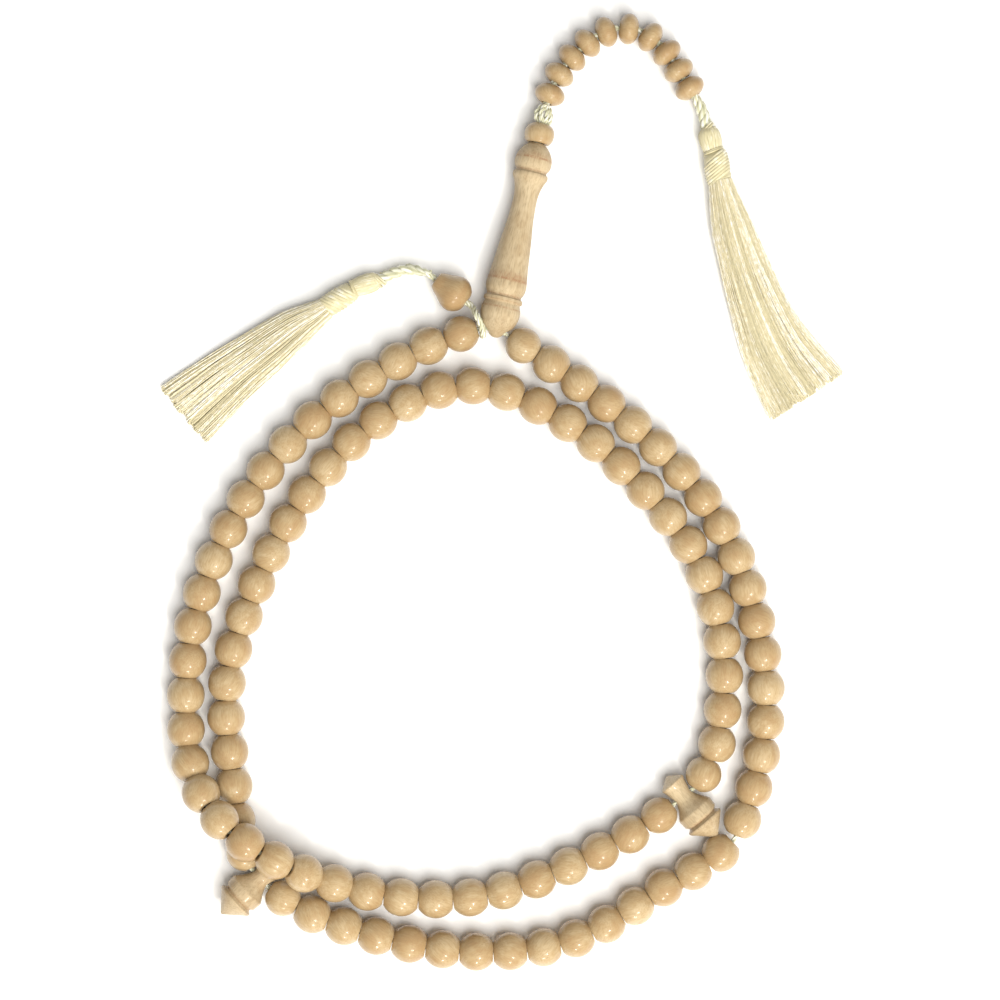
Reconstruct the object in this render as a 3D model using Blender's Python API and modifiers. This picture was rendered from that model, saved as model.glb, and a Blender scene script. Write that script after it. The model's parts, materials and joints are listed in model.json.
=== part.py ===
"""Misbaha: 99 prayer beads in three sections of 33, two dividers, a leader, ten counters and two tassels.

The string lies on a table (z = 0), lapped twice, with the leader pointing along +Y. Sizes are in metres.
The cords' routes are lists of chosen points in millimetres. Heights along a route are in radii of what is
threaded on it, so that the pieces stay on the table when their diameter changes.
"""

import math

import bmesh
import bpy
import numpy as np
from mathutils import Matrix, Vector

MM = 0.001
UP = Vector((0, 0, 1))

# ---- driving sizes -------------------------------------------------------------------------------
TOUCH_GAP = 0.3 * MM  # kept between two pieces that touch
BEAD_GAP = 0.42 * MM  # kept between a bead that spins and the next one, on the string's bends
LANE_GAP = 0.2 * MM  # least space between two laps of the string that lie side by side

BEAD_DIAMETER = 8.0 * MM
BEAD_LENGTH = 7.0 * MM  # at least, between its two flat ends; a bead fills its stretch of the string
BEAD_FACE = 3.3 * MM  # diameter of each flat end
BEAD_BORE = 2.2 * MM
LOOP_CORD = 1.1 * MM
SECTION_NODES = (  # how the 33 beads of each section are shared among nodes
    (3, 3, 1, 1, 1, 4, 4, 4, 4, 4, 4),
    (3, 3, 1, 1, 1, 4, 4, 4, 4, 4, 4),
    (3, 4, 4, 4, 4, 1, 1, 1, 4, 4, 3),
)
SECTION_WEDGES = ((0, 0), (0, 0), (15, 1.5 * MM))  # a divider's tip parts the third section after 15 beads

DIVIDER_LENGTH = 17.0 * MM
DIVIDER_RIM = 8.6 * MM
DIVIDER_HEAD = 5.8 * MM
DIVIDER_WAIST = 4.5 * MM
DIVIDER_SEAT = 5.4 * MM  # from the head's tip to the cord's hole
DIVIDER_HOLE = 2.2 * MM
DIVIDER_GAP = 0.7 * MM  # from the waist to the bead on each side

LEADER_LENGTH = 42.9 * MM
LEADER_BODY = 8.8 * MM
LEADER_WAIST = 5.2 * MM
LEADER_BORE = 2.8 * MM
LEADER_CORD = 2.0 * MM
LEADER_SEAT = 1.7 * MM  # from the foot's tip to its cross hole
LEADER_HOLE = 1.9 * MM
LEADER_CHANNEL = 1.5 * MM  # the narrow bore between the cross hole and the wide one
LEADER_LEAN = math.radians(12.4)  # from +Y towards +X
LEADER_DROP = math.radians(0.9)  # its slim top lies lower than its full foot
FIRST_BEAD_SPACE = 0.466 * LEADER_BODY  # cross hole to bead 1, with room for the marker cord
LAST_BEAD_SPACE = 0.352 * LEADER_BODY  # bead 99 to cross hole

COLLAR_DIAMETER = 6.5 * MM
COLLAR_LENGTH = 4.2 * MM
COLLAR_BORE = 2.5 * MM
KNOT_DIAMETER = 4.6 * MM
KNOT_LENGTH = 3.6 * MM

COUNTER_DIAMETER = 6.7 * MM
COUNTER_LENGTH = 4.15 * MM
COUNTER_SPACES = (0.7, 0.5, 0.4, 0.65, 0.95, 1.0, 0.8, 0.45, 0.4)  # mm of bare cord between counters
TAIL_CORD = 1.5 * MM
COUNTER_BORE = TAIL_CORD + 0.7 * MM

MARKER_CORD = 1.4 * MM
PEAR_DIAMETER = 8.0 * MM
PEAR_LENGTH = 8.2 * MM
PEAR_BORE = 2.0 * MM
PEAR_TRAVEL = 2.0 * MM
TASSEL_CORD = 2.4 * MM

# the tassels: lengths and diameters in mm, then how wide the fringe spreads along its length
TAIL_TASSEL = {"cord": 6.6, "head": 5.4, "binding": 7.1, "fringe": 50.0, "head_d": 4.8, "binding_d": 5.9,
               "spread": (5.2, 8.6, 10.2, 12.2, 15.2, 18.6)}
MARKER_TASSEL = {"cord": 10.6, "head": 6.3, "binding": 7.8, "fringe": 38.0, "head_d": 4.3, "binding_d": 5.2,
                 "spread": (4.8, 7.6, 9.2, 10.6, 12.8, 14.8)}
FRINGE_END = 0.62  # a fringe's height at its free end, as a share of its bound end

# ---- routes --------------------------------------------------------------------------------------
LAY_LANE = 8.2  # mm, the least distance between two laps in the lists below
LAY_CENTRE = (0.3, 0.9)  # mm, the middle of the whole object in the lists' own frame
LEADER_FOOT = (-1.1, 35.9)  # the cross hole
DIVIDER_PLACES = ((39.2, -64.8), (-52.0, -82.5))
TIP_ROOM, TIP_HEADING, TIP_POINTS = 11.6, (0.59, -0.81), (5, 6, 7)  # where the third section rounds divider 1
SECTIONS = (  # x, y and height in bead radii
    (
        (-8.3, 35.4, 1.0), (-28.4, 25.7, 1.0), (-45.1, 12.5, 1.0), (-58.0, -5.0, 1.0),
        (-66.3, -25.7, 1.0), (-68.2, -40.6, 1.0), (-67.8, -55.8, 1.12), (-65.2, -63.1, 1.95),
        (-60.4, -69.4, 2.83), (-54.8, -74.2, 2.86), (-48.1, -78.2, 2.72), (-41.4, -81.7, 1.75),
        (-34.4, -84.1, 1.06), (-27.8, -86.0, 1.0), (-6.4, -86.9, 1.0), (14.8, -80.0, 1.0), (34.5, -69.0, 1.0),
    ),
    (
        (44.3, -60.6, 1.0), (48.3, -37.8, 1.0), (43.5, -15.9, 1.0), (30.6, 1.8, 1.0),
        (13.5, 16.4, 1.0), (-6.8, 24.2, 1.0), (-27.1, 16.2, 1.0), (-42.7, -0.4, 1.0),
        (-53.5, -20.3, 1.0), (-59.6, -41.3, 1.0), (-57.8, -62.7, 1.0), (-56.0, -78.0, 1.0),
    ),
    (
        (-48.0, -86.9, 1.0), (-27.3, -95.1, 1.0), (-5.9, -98.6, 1.0), (15.2, -96.2, 1.0),
        (34.5, -85.0, 1.0), (40.3, -81.4, 1.0), (47.0, -78.3, 1.0),
        (52.0, -70.6, 1.0), (57.2, -49.5, 1.0), (55.2, -26.8, 1.0),
        (47.2, -5.6, 1.0), (33.2, 11.2, 1.0), (16.1, 24.9, 1.0), (4.4, 32.6, 1.0),
    ),
)
TAIL_ROUTE = (  # from the end of the hitch knot; heights in counter radii
    (2.9, 6.9, 1.0), (8.6, 13.1, 1.0), (12.6, 15.9, 1.0), (17.6, 16.7, 1.0),
    (22.0, 15.3, 1.0), (26.0, 11.7, 1.0), (29.6, 6.0, 1.0), (32.2, 1.9, 1.0), (34.4, -2.2, 1.0),
)
MARKER_CREVICE = (-0.466, 0.307, 1.68)  # from the cross hole, in leader bodies; between bead 1 and the leader
PEAR_ENDS = ((-6.5, 6.0, 1.0), (-13.2, 11.0, 1.0))  # from the cross hole; heights in pear radii
# from each tassel cord's start; heights in radii of the binding
TAIL_TASSEL_ROUTE = (
    (1.3, -2.6, 1.05), (2.4, -6.3, 1.0), (3.9, -11.7, 1.0), (5.4, -18.4, 1.0), (7.2, -25.3, 0.8),
    (9.7, -33.5, 0.8), (13.6, -44.3, 0.7), (18.0, -54.1, 0.7), (24.7, -64.5, 0.7),
)
MARKER_TASSEL_ROUTE = (
    (-3.4, 0.7, 1.1), (-6.2, 0.3, 1.0), (-10.9, -1.8, 1.0), (-16.4, -3.7, 1.0), (-22.4, -8.1, 1.0),
    (-28.2, -11.6, 0.8), (-34.5, -16.2, 0.8), (-42.2, -21.9, 0.7), (-53.8, -31.4, 0.7),
)

COLLECTION = bpy.data.collections.new("misbaha")
CUTTERS = bpy.data.collections.new("cutters")
GUIDES = bpy.data.collections.new("guides")


BEADS = 33  # in each section
BEAD_RADIUS = BEAD_DIAMETER / 2
WAIST_SPACE = DIVIDER_WAIST / 2 + DIVIDER_GAP
SECTION_LEADS = (FIRST_BEAD_SPACE, WAIST_SPACE, WAIST_SPACE)
SECTION_TRAILS = (WAIST_SPACE, WAIST_SPACE, LAST_BEAD_SPACE)

BEAD_WOOD = ((0.62, 0.45, 0.26, 1), 0.28)  # colour and roughness
TURNED_WOOD = ((0.66, 0.5, 0.31, 1), 0.5)
CORD = ((0.78, 0.76, 0.62, 1), 0.6)
SATIN = ((0.82, 0.78, 0.62, 1), 0.45)

# heights in mm, radii in shares of the body's radius
LEADER_FOOT_OUTLINE = (
    (0.0, 0.0), (0.1, 0.16), (0.45, 0.27), (1.6, 0.46), (2.9, 0.83), (4.2, 0.93), (5.4, 0.98),
    (6.5, 0.955), (7.6, 0.875), (8.3, 0.97), (9.2, 0.85), (10.6, 0.98),
)
LEADER_FULLEST = 11.7 * MM  # its height above the foot's tip
LEADER_WAIST_BELOW_TOP = 13.3 * MM
LEADER_TOP_OUTLINE = (  # mm below its top
    (9.9, 0.65), (7.3, 0.87), (6.1, 0.76), (4.0, 0.905), (1.9, 0.73), (0.0, 0.4),
)


# ---- routes: smooth curves on which a place is a distance from the start ----------------------------
def smooth_curve(points, closed, steps=24):
    """A centripetal Catmull-Rom curve through the points, as samples with `steps` from point to point. It
    doesn't dip below its lowest point, which is the table under what is threaded on it."""
    knots = np.array(points, float)
    if closed:
        padded = np.vstack([knots[-1:], knots, knots[:2]])
    else:
        padded = np.vstack([2 * knots[0] - knots[1], knots, 2 * knots[-1] - knots[-2]])
    samples = []
    for p0, p1, p2, p3 in zip(padded, padded[1:], padded[2:], padded[3:]):
        t1 = math.sqrt(np.linalg.norm(p1 - p0))
        t2 = t1 + math.sqrt(np.linalg.norm(p2 - p1))
        t3 = t2 + math.sqrt(np.linalg.norm(p3 - p2))
        t = np.linspace(t1, t2, steps, endpoint=False)[:, None]
        a1 = ((t1 - t) * p0 + t * p1) / t1
        a2 = ((t2 - t) * p1 + (t - t1) * p2) / (t2 - t1)
        a3 = ((t3 - t) * p2 + (t - t2) * p3) / (t3 - t2)
        b1 = ((t2 - t) * a1 + t * a2) / t2
        b2 = ((t3 - t) * a2 + (t - t1) * a3) / (t3 - t1)
        samples.extend(((t2 - t) * b1 + (t - t1) * b2) / (t2 - t1))
    samples = np.array([*samples, padded[-2]])
    samples[:, 2] = np.maximum(samples[:, 2], knots[:, 2].min())
    return samples, np.arange(len(padded) - 2) * steps


class Route:
    def __init__(self, points, closed=False):
        self.samples, at_knots = smooth_curve(points, closed)
        sides = np.linalg.norm(np.diff(self.samples, axis=0), axis=1)
        self.distances = np.concatenate([[0], np.cumsum(sides)])
        self.at_point = self.distances[at_knots]
        self.length = self.distances[-1]

    def place(self, distance):
        return Vector([np.interp(distance, self.distances, axis) for axis in self.samples.T])

    def heading(self, distance, reach=0.2 * MM):
        ahead = self.place(min(distance + reach, self.length))
        return (ahead - self.place(max(distance - reach, 0))).normalized()


def on_lay(x, y, height, scale):
    """A listed place in metres, about the middle of the whole object."""
    return Vector(((x * scale - LAY_CENTRE[0]) * MM, (y * scale - LAY_CENTRE[1]) * MM, height))


def beside(start, offset, radius, scale=1):
    """A place given from another one, with its height in radii of what lies there."""
    x, y, height = offset
    return Vector((start.x + x * scale * MM, start.y + y * scale * MM, height * radius))


def divider_tilt():
    """A divider rests on its rim and hangs on the cord at the beads' height."""
    return math.asin((DIVIDER_RIM / 2 - BEAD_RADIUS) / (DIVIDER_LENGTH - DIVIDER_RIM / 2 - DIVIDER_SEAT))


def leader_hole_height():
    return LEADER_BODY / 2 + (LEADER_FULLEST - LEADER_SEAT) * math.sin(LEADER_DROP)


def string_points(scale):
    foot = on_lay(*LEADER_FOOT, leader_hole_height(), scale)
    seats = [on_lay(*place, BEAD_RADIUS, scale) for place in DIVIDER_PLACES]
    laps = [[on_lay(x, y, h * BEAD_RADIUS, scale) for x, y, h in section] for section in SECTIONS]
    longer = max(0, DIVIDER_LENGTH - DIVIDER_SEAT - TIP_ROOM * scale * MM)
    for index in TIP_POINTS:
        laps[2][index] += Vector((*TIP_HEADING, 0)) * longer
    return [foot, *laps[0], seats[0], *laps[1], seats[1], *laps[2]]


def string_stops(route):
    """Distances of the leader's hole, the two dividers, and the leader's hole again."""
    first = 1 + len(SECTIONS[0])
    return [0, route.at_point[first], route.at_point[first + 1 + len(SECTIONS[1])], route.length]


def sections(route):
    """For each section its first and last distance along the string, and its wedge."""
    stops = string_stops(route)
    ends = zip(stops, stops[1:], SECTION_LEADS, SECTION_TRAILS, SECTION_WEDGES)
    for start, end, lead, trail, wedge in ends:
        yield start + lead, end - trail, wedge


def lay_scale():
    """How much wider the string lies than listed, so that its beads and its laps have room."""
    spaces = [(end - start, wedge) for start, end, wedge in sections(Route(string_points(1), closed=True))]
    needed = [(BEADS * (BEAD_LENGTH + TOUCH_GAP) + wedge[1]) / space for space, wedge in spaces]
    return max((BEAD_DIAMETER + LANE_GAP) / (LAY_LANE * MM), *needed)


def bead_cells(route):
    """For each section the (start, end) distances of the stretch of string that each bead lies in."""
    found = []
    for start, end, (after, extra) in sections(route):
        pitch = (end - start - extra) / BEADS
        starts = [start + pitch * i + (extra if i >= after else 0) for i in range(BEADS)]
        found.append([(place, place + pitch) for place in starts])
    return found


# ---- shapes --------------------------------------------------------------------------------------
def add_part(name, data, finish, collection=COLLECTION):
    part = bpy.data.objects.new(name, data)
    collection.objects.link(part)
    material = bpy.data.materials.new(name + "_finish")
    material.use_nodes = True
    shader = material.node_tree.nodes["Principled BSDF"]
    shader.inputs["Base Color"].default_value, shader.inputs["Roughness"].default_value = finish
    shader.inputs["Metallic"].default_value = 0
    data.materials.append(material)
    return part


def turned(name, outline, finish, bore=(), sides=12):
    """A turned piece about its local Z. The outline is (height, radius) from bottom to top, and so is the
    bore, which is empty on a solid piece."""
    closed = bool(bore) and bore[0][1] > 0
    profile = [*bore, *reversed(outline)]
    shape = bmesh.new()
    points = [shape.verts.new((radius, 0, height)) for height, radius in profile]
    for one, other in zip(points, points[1:] + points[:1] * closed):
        shape.edges.new((one, other))
    mesh = bpy.data.meshes.new(name)
    shape.to_mesh(mesh)
    shape.free()
    part = add_part(name, mesh, finish)
    screw = part.modifiers.new("turning", "SCREW")
    screw.steps = screw.render_steps = sides
    screw.use_merge_vertices = True
    screw.merge_threshold = 0.00001
    screw.use_smooth_shade = True
    return part


def ball_outline(diameter, length, face, shares):
    """A ball flattened to its length between two flat faces, as (height, radius) pairs."""
    waist, end = diameter / 2, face / 2
    return [(share * length / 2, math.sqrt(waist**2 - (waist**2 - end**2) * share**2)) for share in shares]


def hollow(outline, bore):
    """A straight bore for an outline: its two ends."""
    return [(outline[0][0], bore / 2), (outline[-1][0], bore / 2)]


def lay_along(part, middle, heading):
    """Puts a piece's origin at `middle`, its local Z along `heading` and its local X level."""
    across = heading.cross(UP).normalized()
    turn = Matrix((across, heading.cross(across), heading)).transposed().to_4x4()
    part.matrix_world = Matrix.Translation(middle) @ turn


def tube(name, points, diameter, finish, origin):
    """A cord: a round tube through the points, whose object sits at `origin`."""
    curve = bpy.data.curves.new(name, "CURVE")
    curve.dimensions = "3D"
    curve.bevel_depth = diameter / 2
    curve.bevel_resolution = 2
    curve.use_fill_caps = True
    spline = curve.splines.new("POLY")
    spline.points.add(len(points) - 1)
    for slot, point in zip(spline.points, points):
        slot.co = (*(point - origin), 1)
    part = add_part(name, curve, finish)
    part.location = origin
    return part


def drill(part, middle, heading, diameter, length):
    """Cuts a round hole right through a piece."""
    bpy.ops.mesh.primitive_cylinder_add(vertices=16, radius=diameter / 2, depth=length)
    cutter = bpy.context.object
    cutter.name = part.name + "_drill"
    for owner in cutter.users_collection:
        owner.objects.unlink(cutter)
    CUTTERS.objects.link(cutter)
    lay_along(cutter, middle, heading)
    cutter.hide_render = True
    cutter.display_type = "WIRE"
    cut = part.modifiers.new("drill", "BOOLEAN")
    cut.object = cutter


def hang_from(pivot_name, place, parts):
    """Parents the pieces to an empty on their joint's axis."""
    pivot = bpy.data.objects.new(pivot_name, None)
    COLLECTION.objects.link(pivot)
    pivot.location = place
    for part in parts:
        part.parent = pivot
        part.matrix_parent_inverse = Matrix.Translation(-place)


# ---- the string ----------------------------------------------------------------------------------
BEAD_SHARES = (-1, -0.62, 0, 0.62, 1)


def guide_for(route):
    """The string's route as a hidden curve, which bends the joined beads."""
    curve = bpy.data.curves.new("string_guide", "CURVE")
    curve.dimensions = "3D"
    curve.twist_mode = "Z_UP"
    spline = curve.splines.new("POLY")
    spline.points.add(len(route.samples) - 1)
    for slot, point in zip(spline.points, route.samples):
        slot.co = (*point, 1)
    guide = bpy.data.objects.new("string_guide", curve)
    GUIDES.objects.link(guide)
    guide.hide_render = True
    guide.display_type = "WIRE"
    return guide


def single_bead(name, route, start, end):
    one, other = route.place(start), route.place(end)
    outline = ball_outline(BEAD_DIAMETER, (other - one).length - BEAD_GAP, BEAD_FACE, BEAD_SHARES)
    bead = turned(name, outline, BEAD_WOOD, hollow(outline, BEAD_BORE))
    lay_along(bead, (one + other) / 2, (other - one).normalized())


def bead_run(name, cells, guide):
    """Neighbouring beads joined at their flat ends, bent along the string."""
    first, last = cells[0][0], cells[-1][1]
    spare = BEAD_GAP / 2
    outline, bore = [], []
    for start, end in cells:
        ball = ball_outline(BEAD_DIAMETER, end - start, BEAD_FACE, BEAD_SHARES)
        outline = outline[:-1] + [((start + end) / 2 + height, radius) for height, radius in ball]
        bore.append((start, BEAD_BORE / 2))
    outline[0], outline[-1] = (first + spare, BEAD_FACE / 2), (last - spare, BEAD_FACE / 2)
    bore = [(first + spare, BEAD_BORE / 2), *bore[1:], (last - spare, BEAD_BORE / 2)]
    run = turned(name, outline, BEAD_WOOD, bore, sides=8)
    bend = run.modifiers.new("string", "CURVE")
    bend.object = guide
    bend.deform_axis = "POS_Z"


def string_beads(route):
    guide = guide_for(route)
    number = 1
    for cells, counts in zip(bead_cells(route), SECTION_NODES):
        for count in counts:
            own, cells = cells[:count], cells[count:]
            if count == 1:
                single_bead(f"bead_{number:02d}", route, *own[0])
            else:
                bead_run(f"beads_{number:02d}_to_{number + count - 1:02d}", own, guide)
            number += count


def loop_cord(route):
    """One cord through every bead and divider, with both of its ends in the leader's foot."""
    end_gap = 0.35 * MM
    stations = [end_gap, FIRST_BEAD_SPACE / 2]
    for stop, cells in zip(string_stops(route)[1:], bead_cells(route)):
        stations += [*sorted({place for cell in cells for place in cell}), stop]
    stations[-1:] = [route.length - LAST_BEAD_SPACE / 2, route.length - end_gap]
    tube("loop_cord", [route.place(station) for station in stations], LOOP_CORD, CORD, route.place(0))


def divider_outline():
    head, waist, rim = DIVIDER_HEAD / 2, DIVIDER_WAIST / 2, DIVIDER_RIM / 2
    top = DIVIDER_LENGTH
    rows = (
        (0, 0), (0.7 * head, 0.97 * head), (head, head), (1.3 * head, 0.93 * head),
        (DIVIDER_SEAT - 0.7 * MM, waist * 1.04), (DIVIDER_SEAT, waist),
        (DIVIDER_SEAT + 1.1 * MM, waist * 1.05), (DIVIDER_SEAT + 2.3 * MM, (2.6 * waist + rim) / 3.6),
        (DIVIDER_SEAT + 3.8 * MM, 0.96 * rim),
        (top - 1.32 * rim, 0.94 * rim), (top - 1.19 * rim, 0.84 * rim), (top - 1.07 * rim, rim),
        (top - 0.93 * rim, rim), (top, 0),
    )
    return [(height - DIVIDER_SEAT, radius) for height, radius in rows]


def dividers(route):
    tilt = divider_tilt()
    for number, stop in enumerate(string_stops(route)[1:3], 1):
        cord = route.heading(stop)
        level = cord.cross(UP).normalized()
        divider = turned(f"divider_{number}", divider_outline(), TURNED_WOOD)
        lay_along(divider, route.place(stop), level * math.cos(tilt) + UP * math.sin(tilt))
        drill(divider, route.place(stop), cord, DIVIDER_HOLE, DIVIDER_RIM * 2)


# ---- the leader ----------------------------------------------------------------------------------
def leader_heading():
    level = math.cos(LEADER_DROP)
    return Vector((math.sin(LEADER_LEAN) * level, math.cos(LEADER_LEAN) * level, -math.sin(LEADER_DROP)))


def leader_outline():
    body, waist = LEADER_BODY / 2, LEADER_WAIST / 2
    narrowest = LEADER_LENGTH - LEADER_WAIST_BELOW_TOP
    rows = [(height * MM, share * body) for height, share in LEADER_FOOT_OUTLINE]
    for step in range(6):
        share = step / 5
        height = LEADER_FULLEST + (narrowest - LEADER_FULLEST) * share
        rows.append((height, waist + (body - waist) * (1 - share) ** 1.2))
    rows += [(LEADER_LENGTH - below * MM, share * body) for below, share in LEADER_TOP_OUTLINE]
    return rows


def knot_distance():
    """From the foot's cross hole to the middle of the hitch knot."""
    return LEADER_LENGTH - LEADER_SEAT + COLLAR_LENGTH + 2 * TOUCH_GAP + KNOT_LENGTH / 2


def leader(route):
    foot, heading = route.place(0), leader_heading()
    step = LEADER_SEAT + 3.4 * MM  # where the narrow channel meets the wide bore
    bore = [(LEADER_SEAT, 0), (LEADER_SEAT, LEADER_CHANNEL / 2), (step, LEADER_CHANNEL / 2),
            (step, LEADER_BORE / 2), (LEADER_LENGTH, LEADER_BORE / 2)]
    post = turned("minaret", above_seat(leader_outline()), TURNED_WOOD, above_seat(bore))
    across = heading.cross(UP).normalized()
    drill(post, foot, across, LEADER_HOLE, LEADER_BODY)

    shares = [-0.8, -0.5, 0, 0.5, 0.8, 1]
    knot = ball_outline(KNOT_DIAMETER, KNOT_LENGTH, LEADER_CORD / 2, shares)
    cord = [(step + TOUCH_GAP, 0), (step + TOUCH_GAP, LEADER_CORD / 2)]
    cord.append((knot_distance() + LEADER_SEAT - KNOT_LENGTH / 2, LEADER_CORD / 2))
    cord += [(knot_distance() + LEADER_SEAT + height, radius) for height, radius in knot]
    cord.append((cord[-1][0], 0))
    inner = turned("leader_cord", above_seat(cord), CORD)

    outline = ball_outline(COLLAR_DIAMETER, COLLAR_LENGTH, COLLAR_DIAMETER * 0.55, BEAD_SHARES)
    collar = turned("collar_bead", outline, BEAD_WOOD, hollow(outline, COLLAR_BORE))
    for part in (post, inner):
        lay_along(part, foot, heading)
    collar_at = LEADER_LENGTH - LEADER_SEAT + TOUCH_GAP + COLLAR_LENGTH / 2
    lay_along(collar, foot + heading * collar_at, heading)


def above_seat(outline):
    return [(height - LEADER_SEAT, radius) for height, radius in outline]


# ---- the tail ------------------------------------------------------------------------------------
def tail_route(route):
    """The tail cord's route, from the end of the hitch knot; it widens when its counters need more."""
    knot = route.place(0) + leader_heading() * knot_distance()
    start = knot + leader_heading() * (KNOT_LENGTH / 2 + TOUCH_GAP)
    needed = len(COUNTER_SPACES) * COUNTER_LENGTH + COUNTER_LENGTH + sum(COUNTER_SPACES) * MM + 3 * TOUCH_GAP
    plain = Route([start, *[beside(start, place, COUNTER_DIAMETER / 2) for place in TAIL_ROUTE]])
    scale = max(1, needed / plain.length)
    points = [start, *[beside(start, place, COUNTER_DIAMETER / 2, scale) for place in TAIL_ROUTE]]
    return knot, Route(points)


def counter_places():
    """Distances along the tail cord of the counters' middles."""
    places = [TOUCH_GAP + COUNTER_LENGTH / 2]
    for space in COUNTER_SPACES:
        places.append(places[-1] + COUNTER_LENGTH + space * MM)
    return places


def tail(route):
    knot, cord = tail_route(route)
    outline = ball_outline(COUNTER_DIAMETER, COUNTER_LENGTH, COUNTER_DIAMETER * 0.42, BEAD_SHARES)
    places = counter_places()
    for number, place in enumerate(places, 1):
        counter = turned(f"counter_{number:02d}", outline, BEAD_WOOD, hollow(outline, COUNTER_BORE), sides=8)
        one, other = cord.place(place - COUNTER_LENGTH / 2), cord.place(place + COUNTER_LENGTH / 2)
        lay_along(counter, (one + other) / 2, (other - one).normalized())
    end = places[-1] + COUNTER_LENGTH / 2 + 2 * TOUCH_GAP
    stations = np.linspace(0, end, 25)
    tube("tail_cord", [cord.place(station) for station in stations], TAIL_CORD, CORD, knot)
    return cord.place(end)


# ---- the tassels ---------------------------------------------------------------------------------
FRINGE_SECTION = (  # across and up, in shares of its width and height
    (-0.42, 0), (0.42, 0), (0.5, 0.3), (0.43, 0.7), (0.2, 1), (-0.2, 1), (-0.43, 0.7), (-0.5, 0.3),
)


def fringe(name, route, start, end, spread, height):
    """A fan of threads lying on the table: sections from the binding to the free end, joined by a skin."""
    shape = bmesh.new()
    rings = []
    for step, width in enumerate(spread):
        share = step / (len(spread) - 1)
        station = start + (end - start) * share
        place, heading = route.place(station), route.heading(station)
        across = Vector((heading.y, -heading.x, 0)).normalized()
        wide, tall = across * width * MM, UP * height * (1 + (FRINGE_END - 1) * share)
        level = Vector((place.x, place.y, 0))
        corners = [shape.verts.new(level + wide * u + tall * v) for u, v in FRINGE_SECTION]
        rings.append([shape.edges.new((a, b)) for a, b in zip(corners, corners[1:] + corners[:1])])
    for one, other in zip(rings, rings[1:]):
        bmesh.ops.bridge_loops(shape, edges=one + other)
    bmesh.ops.holes_fill(shape, edges=rings[0] + rings[-1])
    bmesh.ops.recalc_face_normals(shape, faces=shape.faces)
    mesh = bpy.data.meshes.new(name)
    shape.to_mesh(mesh)
    shape.free()
    return add_part(name, mesh, SATIN)


def tassel(name, start, offsets, sizes):
    """A twisted cord, a satin head, a thread-wrapped binding and a fringe, along one route."""
    binding = sizes["binding_d"] * MM / 2
    route = Route([start, *[beside(start, place, binding) for place in offsets]])
    cord_end = sizes["cord"] * MM
    head_end = cord_end + sizes["head"] * MM
    binding_end = head_end + sizes["binding"] * MM
    stations = np.linspace(2 * TOUCH_GAP, cord_end, 9)
    cord = tube(name + "_cord", [route.place(station) for station in stations], TASSEL_CORD, CORD, start)

    length, top = sizes["head"] * MM - 2 * TOUCH_GAP, sizes["head_d"] * MM / 2
    rows = ((0, 0), (0, 0.5), (0.12, 0.8), (0.3, 0.98), (0.7, 1), (1, 0.65), (1, 0))
    head = turned(name + "_head", [(length * height, top * radius) for height, radius in rows], SATIN)
    length = sizes["binding"] * MM - TOUCH_GAP
    rows = ((0, 0), (0, 0.6), (0.12, 0.95), (0.45, 1), (0.85, 0.96), (1, 0.88), (1, 0))
    wrap = turned(name + "_binding", [(length * height, binding * radius) for height, radius in rows], CORD)
    for part, one, other in ((head, cord_end, head_end), (wrap, head_end, binding_end)):
        ahead = route.place(other) - route.place(one)
        lay_along(part, route.place(one) + ahead.normalized() * TOUCH_GAP, ahead.normalized())
    end = binding_end + sizes["fringe"] * MM
    threads = fringe(name + "_fringe", route, binding_end + TOUCH_GAP * 2, end, sizes["spread"], binding * 2)
    hang_from(name + "_pivot", start, (cord, head, wrap, threads))


# ---- the marker ----------------------------------------------------------------------------------
PEAR_OUTLINE = (  # from its wide end, in shares of its length and radius
    (0, 0.4), (0.05, 0.62), (0.15, 0.84), (0.27, 0.97), (0.4, 1), (0.55, 0.88), (0.75, 0.63), (1, 0.4),
)


def marker(route):
    """The thin cord hooked round the loop cord beside the leader's foot, with its pear-shaped slider."""
    foot = route.place(0)
    station = (LEADER_BODY * 0.23 + FIRST_BEAD_SPACE) / 2
    middle, along = route.place(station), route.heading(station)
    inward = UP.cross(along).normalized()
    reach = (LOOP_CORD + MARKER_CORD) / 2 + TOUCH_GAP
    hook = []
    for step in range(9):
        turn = math.radians(-85 + step * 22.5)
        hook.append(middle + (inward * math.cos(turn) + UP * math.sin(turn)) * reach)
    crevice = beside(foot, MARKER_CREVICE, BEAD_RADIUS, LEADER_BODY / MM)
    wide_end, slim_end = [beside(foot, place, PEAR_DIAMETER / 2) for place in PEAR_ENDS]
    ahead = (slim_end - wide_end).normalized()
    over = Route([hook[-1], crevice, wide_end - ahead * MARKER_CORD, wide_end])
    rise = [over.place(distance) for distance in np.linspace(0, over.length, 12)[1:]]
    end = wide_end + ahead * (PEAR_LENGTH + PEAR_TRAVEL + 2 * TOUCH_GAP)
    tube("marker_cord", [*hook, *rise, end], MARKER_CORD, CORD, middle)

    outline = [(height * PEAR_LENGTH, radius * PEAR_DIAMETER / 2) for height, radius in PEAR_OUTLINE]
    pear = turned("slider_bead", outline, BEAD_WOOD, hollow(outline, PEAR_BORE))
    lay_along(pear, wide_end, ahead)
    return end


def misbaha():
    route = Route(string_points(lay_scale()), closed=True)
    string_beads(route)
    loop_cord(route)
    dividers(route)
    leader(route)
    tassel("tail_tassel", tail(route), TAIL_TASSEL_ROUTE, TAIL_TASSEL)
    tassel("marker_tassel", marker(route), MARKER_TASSEL_ROUTE, MARKER_TASSEL)


for old in list(bpy.data.objects):
    bpy.data.objects.remove(old)
for collection in (COLLECTION, CUTTERS, GUIDES):
    bpy.context.scene.collection.children.link(collection)
misbaha()
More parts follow.
